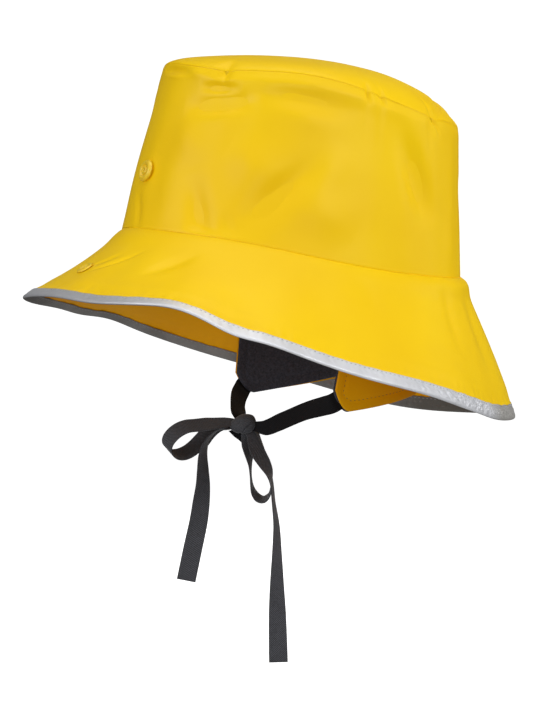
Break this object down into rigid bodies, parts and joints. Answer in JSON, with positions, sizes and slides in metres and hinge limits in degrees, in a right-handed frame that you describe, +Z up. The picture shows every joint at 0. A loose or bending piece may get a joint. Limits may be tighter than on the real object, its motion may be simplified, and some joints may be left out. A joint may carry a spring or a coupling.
{
  "type": "child's rain hat",
  "caption": "Child's bucket rain hat of coated cloth, with a neck brim bound in reflective tape, lined ear flaps and a ribbon tied in a bow.",
  "frame": {"origin": "middle of the head opening, at the seam where the crown meets the brim", "axes": "+Z up, -Y to the front of the hat, +X to the wearer's left; the hat is tipped back with its front raised, and its ties hang plumb along -Z"},
  "size_m": [0.2284, 0.2667, 0.3179],
  "materials": {
    "coated_cloth": "satin waterproof coating",
    "reflective_tape": "silver-grey reflective",
    "fleece": "matt knitted fleece",
    "stud_plastic": "smooth",
    "ribbon": "matt ribbed weave"
  },
  "bodies": {
    "root": {"crown_tip": "coated_cloth", "crown_side": "coated_cloth", "brim": "coated_cloth", "brim_binding": "reflective_tape", "ear_flap_left": "coated_cloth", "ear_flap_lining_left": "fleece", "ear_flap_right": "coated_cloth", "ear_flap_lining_right": "fleece", "snap_crown": "stud_plastic", "snap_brim": "stud_plastic", "bow_knot": "ribbon", "tie_left": "ribbon", "tie_right": "ribbon", "bow_loop_front": "ribbon", "bow_loop_back": "ribbon", "bow_tail_front": "ribbon", "bow_tail_back": "ribbon"}
  },
  "joints": []
}
